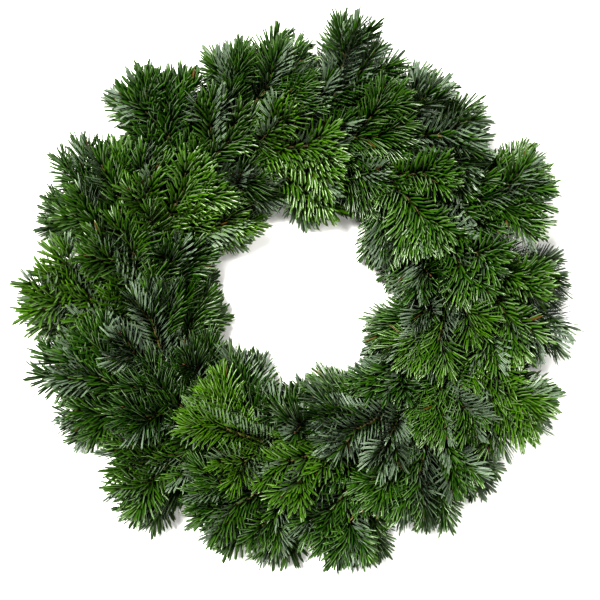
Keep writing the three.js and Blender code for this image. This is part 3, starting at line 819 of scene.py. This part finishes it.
def buds_of(twig, has_side_buds, rng):
    """The bud that ends a twig and, on a spray's first twigs, the two beside it."""
    place = twig["points"][-1]
    heading = unit(place - twig["points"][-2])
    up = twig["faces"][-1]
    side = unit(np.cross(heading, up))
    buds = [bud(place, heading, up, END_BUD, rng)]
    for way in (-1, 1) if has_side_buds else ():
        lean = math.radians(SIDE_BUD_LEAN * way)
        direction = heading * math.cos(lean) + side * math.sin(lean)
        buds.append(bud(place - heading * SIDE_BUD_SET_BACK, direction, up, SIDE_BUD, rng))
    return buds


def joined(parts):
    """Several tubes as one list of vertices, faces and the number of the tube that each face is of."""
    vertices = []
    faces = []
    numbers = []
    count = 0
    for number, (points, own_faces) in enumerate(parts):
        vertices.append(points)
        faces += [[corner + count for corner in face] for face in own_faces]
        numbers += [number] * len(own_faces)
        count += len(points)
    return np.concatenate(vertices), faces, np.array(numbers)


def mesh_of_tubes(name, parts):
    vertices, faces, numbers = joined(parts)
    starts = np.concatenate([[0], np.cumsum([len(face) for face in faces])[:-1]])
    return new_mesh(name, vertices, np.concatenate(faces), starts), numbers


def wood_mesh(spray, rng):
    """A spray's twigs with their buds. Bark comes first among its materials, then buds."""
    parts = []
    kinds = []
    for index, twig in enumerate(spray["twigs"]):
        at = STEP * np.arange(len(twig["points"]))
        radii = twig_radius(twig, at, index == 0) * (1 + KNOT_SHARE * np.sin(at * KNOT_STEP + index))
        buds = buds_of(twig, index < TWIGS_WITH_SIDE_BUDS, rng)
        parts += [tube(twig["points"], twig["faces"], radii, TWIG_SIDES), *buds]
        kinds += [0] + [1] * len(buds)
    mesh, numbers = mesh_of_tubes("spray_" + spray["name"] + "_wood", parts)
    mesh.polygons.foreach_set("material_index", np.array(kinds)[numbers])
    return mesh


def straw_mesh():
    """The straw ring: a body under stalks that run round it and are pulled in under the wire."""
    rng = np.random.default_rng(STRAW_SEED)
    parts = [straw_body()]
    for number in range(STALKS):
        seat = (number * GOLDEN_SHARE % 1) * FULL_TURN
        start = rng.uniform(0, FULL_TURN)
        parts.append(straw_stalk(start, seat, rng))
    mesh, _ = mesh_of_tubes("straw_bundle", parts)
    return mesh


def straw_body():
    """The round body of straw, once round the ring."""
    clocks = np.linspace(0, FULL_TURN, STRAW_BODY_STEPS)
    points = np.array([on_section(clock, 0, 0) for clock in clocks])
    pinch = np.array([pulled_in(clock, 0) for clock in clocks])
    ups = np.tile(UP, (len(clocks), 1))
    return tube(points, ups, STRAW_RADIUS * STRAW_BODY_SHARE - pinch, STRAW_BODY_SIDES)


def pulled_in(clock, seat):
    """How far the wire pulls the straw in at a place on the ring."""
    turn = (clock - wire_clock(0, seat)) / PITCH
    apart = abs(turn - nearest(turn)) * PITCH * RING_RADIUS
    return GROOVE_DEPTH * math.exp(-((apart / GROOVE_WIDTH) ** 2))


def straw_stalk(start, seat, rng):
    """One stalk of straw on the ring's surface, a little narrower at its ends."""
    radius = rng.uniform(*STALK_RADII)
    clocks = start + np.linspace(0, rng.uniform(*STALK_LENGTHS) / RING_RADIUS, STALK_STEPS)
    drift = rng.normal(0, STALK_DRIFT)
    wave_start = rng.uniform(0, FULL_TURN)
    depth = rng.uniform(0, STALK_DEPTH)
    points = []
    ups = []
    for step, clock in enumerate(clocks):
        waver = STALK_WAVER * math.sin(step * STALK_WAVE_STEP + wave_start)
        own_seat = seat + drift * step / STALK_STEPS + waver
        reach = STRAW_RADIUS - radius - depth - pulled_in(clock, own_seat)
        point = on_section(clock, own_seat, reach)
        point[2] = max(point[2], radius + STALK_ABOVE_FLOOR)
        points.append(point)
        ups.append(outward(clock, own_seat))
    steps = np.arange(STALK_STEPS)
    from_end = np.minimum(steps, steps[::-1])
    radii = radius * np.minimum(1, STALK_END_SHARE + STALK_END_GROWTH * from_end)
    return tube(np.array(points), np.array(ups), radii, STALK_SIDES)


def wire_mesh(route):
    """The wire as one tube along its route."""
    line = resampled(route, WIRE_STEP)
    radii = np.full(len(line), WIRE_RADIUS)
    parts = [tube(line, unit(line - ring_middle(line)), radii, WIRE_SIDES)]
    mesh, _ = mesh_of_tubes("wire_winding", parts)
    return mesh


class Shader:
    """A short way to write a material's nodes."""

    def __init__(self, name):
        self.material = bpy.data.materials.new(name)
        self.material.use_nodes = True
        self.tree = self.material.node_tree
        self.surface = self.tree.nodes["Principled BSDF"]

    def node(self, kind, inputs=None, **settings):
        made = self.tree.nodes.new(kind)
        for key, value in settings.items():
            setattr(made, key, value)
        for key, value in (inputs or {}).items():
            self.set(made.inputs[key], value)
        return made

    def set(self, socket, value):
        if isinstance(value, bpy.types.NodeSocket):
            self.tree.links.new(value, socket)
        else:
            socket.default_value = value

    def attribute(self, name):
        return self.node("ShaderNodeAttribute", attribute_name=name).outputs["Fac"]

    def math(self, operation, *values):
        inputs = dict(enumerate(values))
        return self.node("ShaderNodeMath", inputs, operation=operation).outputs[0]

    def mapped(self, value, low, high, to_low=0.0, to_high=1.0, smooth=False):
        kind = "SMOOTHSTEP" if smooth else "LINEAR"
        inputs = {"Value": value, "From Min": low, "From Max": high, "To Min": to_low, "To Max": to_high}
        return self.node("ShaderNodeMapRange", inputs, interpolation_type=kind).outputs["Result"]

    def mix(self, share, first, second):
        """A mix of two colours. Its sockets go by number, because some of them share a name."""
        made = self.node("ShaderNodeMix", data_type="RGBA")
        self.set(made.inputs[0], share)
        self.set(made.inputs[6], first)
        self.set(made.inputs[7], second)
        return made.outputs[2]

    def place(self):
        return self.node("ShaderNodeTexCoord").outputs["Object"]

    def noise(self, scale, detail):
        inputs = {"Vector": self.place(), "Scale": scale, "Detail": detail}
        return self.node("ShaderNodeTexNoise", inputs).outputs["Fac"]

    def bump(self, height, strength, distance):
        inputs = {"Height": height, "Strength": strength, "Distance": distance}
        self.set(self.surface.inputs["Normal"], self.node("ShaderNodeBump", inputs).outputs[0])

    def finish(self, **values):
        for key, value in values.items():
            self.set(self.surface.inputs[key.replace("_", " ")], value)
        return self.material


def colour(red, green, blue):
    return (red, green, blue, 1.0)


def upper_side(shader, signed, across):
    """Green with a painted highlight down the middle, painted shade at the edges and a painted highlight
    streak along one side. signed is across from side to side.
    """
    green = shader.mix(shader.attribute("shade"), colour(0.004, 0.019, 0.002), colour(0.036, 0.097, 0.002))
    green = shader.mix(shader.attribute("fresh"), green, colour(0.145, 0.28, 0.004))
    patches = shader.mapped(shader.noise(120, 2), 0.35, 0.7, to_high=0.35)
    green = shader.mix(patches, green, colour(0.011, 0.052, 0.008))
    # Painted highlight: a paler line down the middle of the upper side
    groove = shader.mapped(across, 0, 0.25, to_low=0.5, to_high=0, smooth=True)
    green = shader.mix(groove, green, colour(0.06, 0.12, 0.008))
    # Painted shade: the needle's long edges darker, so that the gaps between needles look dark
    painted_edge_shade = shader.mapped(across, 0.55, 1, to_high=0.75, smooth=True)
    green = shader.mix(painted_edge_shade, green, colour(0.003, 0.009, 0.001))
    # Painted highlight: a pale streak along one side of the upper face, as a gloss line would look
    rising = shader.mapped(signed, -0.95, -0.7, smooth=True)
    falling = shader.mapped(signed, -0.4, -0.15, to_low=0.75, to_high=0, smooth=True)
    painted_highlight = shader.math("MULTIPLY", shader.math("MULTIPLY", rising, falling), shader.attribute("painted_highlight_strength"))
    return shader.mix(painted_highlight, green, colour(0.245, 0.28, 0.225))


def lower_side(shader, upper, across, along):
    """Pale green with two silvery bands that start near the root."""
    rising = shader.mapped(across, 0.2, 0.36, smooth=True)
    falling = shader.mapped(across, 0.74, 0.9, to_low=1, to_high=0, smooth=True)
    past_root = shader.mapped(along, 0.02, 0.12, to_high=0.9, smooth=True)
    band = shader.math("MULTIPLY", shader.math("MULTIPLY", rising, falling), past_root)
    margin = shader.mix(0.4, upper, colour(0.025, 0.055, 0.008))
    return shader.mix(band, margin, colour(0.2, 0.24, 0.205))


def needle_material():
    """Glossy green above, banded below, paler at root and tip, and darkened with painted shade where other
    twigs cover the needle.
    """
    shader = Shader("fir_needles")
    signed = shader.attribute("across")
    across = shader.math("ABSOLUTE", signed)
    along = shader.attribute("along")
    under = shader.attribute("under")
    upper = upper_side(shader, signed, across)
    base = shader.mix(under, upper, lower_side(shader, upper, across, along))
    root = shader.mapped(along, 0, 0.12, to_low=0.6, to_high=0, smooth=True)
    base = shader.mix(root, base, colour(0.08, 0.09, 0.02))
    tip = shader.mapped(along, 0.92, 1, to_high=0.5, smooth=True)
    base = shader.mix(tip, base, colour(0.1, 0.13, 0.035))
    base = shader.mix(shader.attribute("dry"), base, colour(0.1, 0.05, 0.016))
    # Painted shade: needles covered by other twigs turn near black
    painted_shade = shader.mapped(shader.attribute("inner"), 0.1, 1, to_high=0.88)
    base = shader.mix(painted_shade, base, colour(0.002, 0.007, 0.001))
    fine = shader.noise(2600, 2)
    rough = shader.mapped(fine, 0.3, 0.7, to_low=0.31, to_high=0.45)
    rough = shader.math("ADD", rough, shader.math("MULTIPLY", under, 0.18))
    shader.bump(fine, 0.25, 0.0002)
    gloss = dict(Specular_IOR_Level=0.46, Coat_Weight=0.08, Coat_Roughness=0.25)
    return shader.finish(Base_Color=base, Roughness=rough, **gloss)


def bark_material():
    """Thin olive bark with fine cracks and small scars."""
    shader = Shader("fir_bark")
    coarse = shader.noise(260, 4)
    fine = shader.noise(1500, 3)
    patches = shader.mapped(coarse, 0.35, 0.65)
    base = shader.mix(patches, colour(0.1, 0.086, 0.03), colour(0.042, 0.036, 0.014))
    scars = shader.mapped(fine, 0.55, 0.75, to_high=0.5)
    base = shader.mix(scars, base, colour(0.16, 0.14, 0.06))
    rough = shader.mapped(coarse, 0.3, 0.7, to_low=0.6, to_high=0.85)
    shader.bump(fine, 0.6, 0.0006)
    return shader.finish(Base_Color=base, Roughness=rough)


def bud_material():
    """Brown bud scales under a little resin."""
    shader = Shader("fir_buds")
    inputs = {"Vector": shader.place(), "Scale": 900.0}
    scales = shader.node("ShaderNodeTexVoronoi", inputs).outputs["Distance"]
    edges = shader.mapped(scales, 0.1, 0.6)
    base = shader.mix(edges, colour(0.15, 0.08, 0.035), colour(0.07, 0.036, 0.017))
    rough = shader.mapped(scales, 0.1, 0.6, to_low=0.3, to_high=0.55)
    shader.bump(scales, 0.5, 0.0006)
    return shader.finish(Base_Color=base, Roughness=rough)


def straw_material():
    """Dry straw in two shades, with paler flecks."""
    shader = Shader("straw")
    coarse = shader.noise(90, 3)
    fine = shader.noise(900, 4)
    patches = shader.mapped(coarse, 0.35, 0.65)
    base = shader.mix(patches, colour(0.4, 0.28, 0.11), colour(0.26, 0.165, 0.058))
    flecks = shader.mapped(fine, 0.5, 0.75, to_high=0.6)
    base = shader.mix(flecks, base, colour(0.52, 0.4, 0.2))
    rough = shader.mapped(fine, 0.3, 0.7, to_low=0.5, to_high=0.75)
    shader.bump(fine, 0.4, 0.0005)
    return shader.finish(Base_Color=base, Roughness=rough)


def wire_material():
    """Florist's wire in worn dark green lacquer."""
    shader = Shader("wire")
    wear = shader.noise(700, 4)
    worn = shader.mapped(wear, 0.62, 0.72, smooth=True)
    base = shader.mix(worn, colour(0.012, 0.04, 0.018), colour(0.2, 0.19, 0.17))
    rough = shader.mapped(wear, 0.3, 0.7, to_low=0.28, to_high=0.5)
    shader.bump(wear, 0.2, 0.0002)
    return shader.finish(Base_Color=base, Roughness=rough, Metallic=worn)


def add_piece(mesh, materials, node):
    """Shows a mesh in place of a solid. It moves with the part's only body."""
    for material in materials:
        mesh.materials.append(material)
    piece = bpy.data.objects.new(mesh.name, mesh)
    bpy.context.scene.collection.objects.link(piece)
    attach(piece, "root")
    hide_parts(node)


def colour_needles(spray, needles, rng):
    """How light, fresh and dry each needle of a spray is, and how strong its painted highlight streak is.
    """
    count = len(needles["root"])
    tone = rng.uniform(*SPRAY_TONES)
    fresh = FRESH_SPRAYS.get(spray["name"], max(0.0, rng.normal(*USUAL_FRESHNESS)))
    needles["shade"] = np.clip(rng.normal(tone, TONE_DRAW, count), 0, 1)
    needles["fresh"] = np.clip(rng.normal(fresh, FRESHNESS_DRAW, count), 0, 1)
    # How strong each needle's painted highlight streak is
    needles["painted_highlight_strength"] = rng.random(count) ** PAINTED_HIGHLIGHT_POWER
    needles["dry"] = np.where(rng.random(count) < DRY_CHANCE, DRYNESS, 0.0)


def build_sprays(sprays, wire):
    """The needles and the wood of every spray."""
    rng = np.random.default_rng(NEEDLE_SEED)
    green, bark, brown = needle_material(), bark_material(), bud_material()
    tree, owners = tree_of_twigs(sprays, wire)
    owner = 0
    for spray in sprays:
        face_twigs(spray, rng)
        habit = habit_of(spray, rng)
        grown = []
        for index, twig in enumerate(spray["twigs"]):
            owner += 1
            needles = grow_needles(twig, index == 0, habit, rng)
            keep_off_floor(needles)
            # How far other twigs cover each needle, which the material turns into painted shade
            needles["inner"] = painted_shade_share(needles, owner, tree, owners)
            kept = ~crossing(needles, owner, tree, owners)
            grown.append({key: values[kept] for key, values in needles.items()})
        needles = merged(grown)
        colour_needles(spray, needles, rng)
        node = "spray_" + spray["name"]
        add_piece(needle_mesh(node + "_needles", needles), [green], node)
        add_piece(wood_mesh(spray, rng), [bark, brown], node)


def add_floor():
    """A wide pale floor under the wreath."""
    half = 60.0
    corners = [(-half, -half, 0), (half, -half, 0), (half, half, 0), (-half, half, 0)]
    mesh = bpy.data.meshes.new("floor")
    mesh.from_pydata(corners, [], [(0, 1, 2, 3)])
    shader = Shader("pale_floor")
    mesh.materials.append(shader.finish(Base_Color=colour(0.88, 0.88, 0.88), Roughness=0.9))
    floor = bpy.data.objects.new("floor", mesh)
    bpy.context.scene.collection.objects.link(floor)


def add_lamp(name, place, softness, strength):
    """A soft distant lamp, a little warm, that shines from a place towards the wreath."""
    data = bpy.data.lights.new(name, "SUN")
    data.color = (1.0, 0.985, 0.955)
    data.angle = math.radians(softness)
    data.energy = strength
    lamp = bpy.data.objects.new(name, data)
    lamp.location = place
    lamp.rotation_mode = "QUATERNION"
    lamp.rotation_quaternion = (-Vector(place)).to_track_quat("-Z", "Y")
    bpy.context.scene.collection.objects.link(lamp)


def add_surroundings():
    """A studio with pale walls and a dark ceiling, so that the lamps give most of the light."""
    world = bpy.data.worlds.new("studio")
    bpy.context.scene.world = world
    world.use_nodes = True
    nodes, links = world.node_tree.nodes, world.node_tree.links
    direction = nodes.new("ShaderNodeTexCoord")
    parts = nodes.new("ShaderNodeSeparateXYZ")
    links.new(direction.outputs["Generated"], parts.inputs[0])
    strength = nodes.new("ShaderNodeMapRange")
    strength.interpolation_type = "SMOOTHSTEP"
    settings = {"From Min": 0.2, "From Max": 0.4, "To Min": 0.9, "To Max": 0.02}
    for key, value in settings.items():
        strength.inputs[key].default_value = value
    links.new(parts.outputs["Z"], strength.inputs["Value"])
    background = nodes["Background"]
    background.inputs["Color"].default_value = colour(1.0, 1.0, 1.0)
    links.new(strength.outputs["Result"], background.inputs["Strength"])


def light_scene():
    """Soft studio light: a strong lamp from the upper left and two weak ones."""
    add_surroundings()
    add_lamp("key", place=(-0.62, 0.55, 1.7), softness=17, strength=5.4)
    add_lamp("second", place=(0.9, 0.5, 1.7), softness=20, strength=1.25)
    add_lamp("low", place=(0.1, -1.1, 1.6), softness=24, strength=0.9)
    view = bpy.context.scene.view_settings
    view.view_transform = "Standard"
    view.look = "Very High Contrast"
    view.exposure = 0.0


def add_camera():
    """Looks straight down. picture_width is what shows at the silhouette's height."""
    lens = 85.0
    sensor = 36.0
    picture_width = 0.531
    silhouette_height = 0.035
    picture_middle = (0.0036, -0.004)
    data = bpy.data.cameras.new("camera")
    data.lens = lens
    data.sensor_width = sensor
    data.clip_start = 0.05
    data.clip_end = 20.0
    camera = bpy.data.objects.new("camera", data)
    camera.location = (*picture_middle, silhouette_height + picture_width * lens / sensor)
    bpy.context.scene.collection.objects.link(camera)
    bpy.context.scene.camera = camera


def build_wreath():
    """Every piece that stands for one of the solids."""
    wire = wire_route()
    sprays = lay_out_sprays()
    add_young_twigs(sprays)
    build_sprays(sprays, wire)
    add_piece(straw_mesh(), [straw_material()], "straw_ring")
    add_piece(wire_mesh(wire), [wire_material()], "binding_wire")


build_wreath()
add_floor()
light_scene()
add_camera()
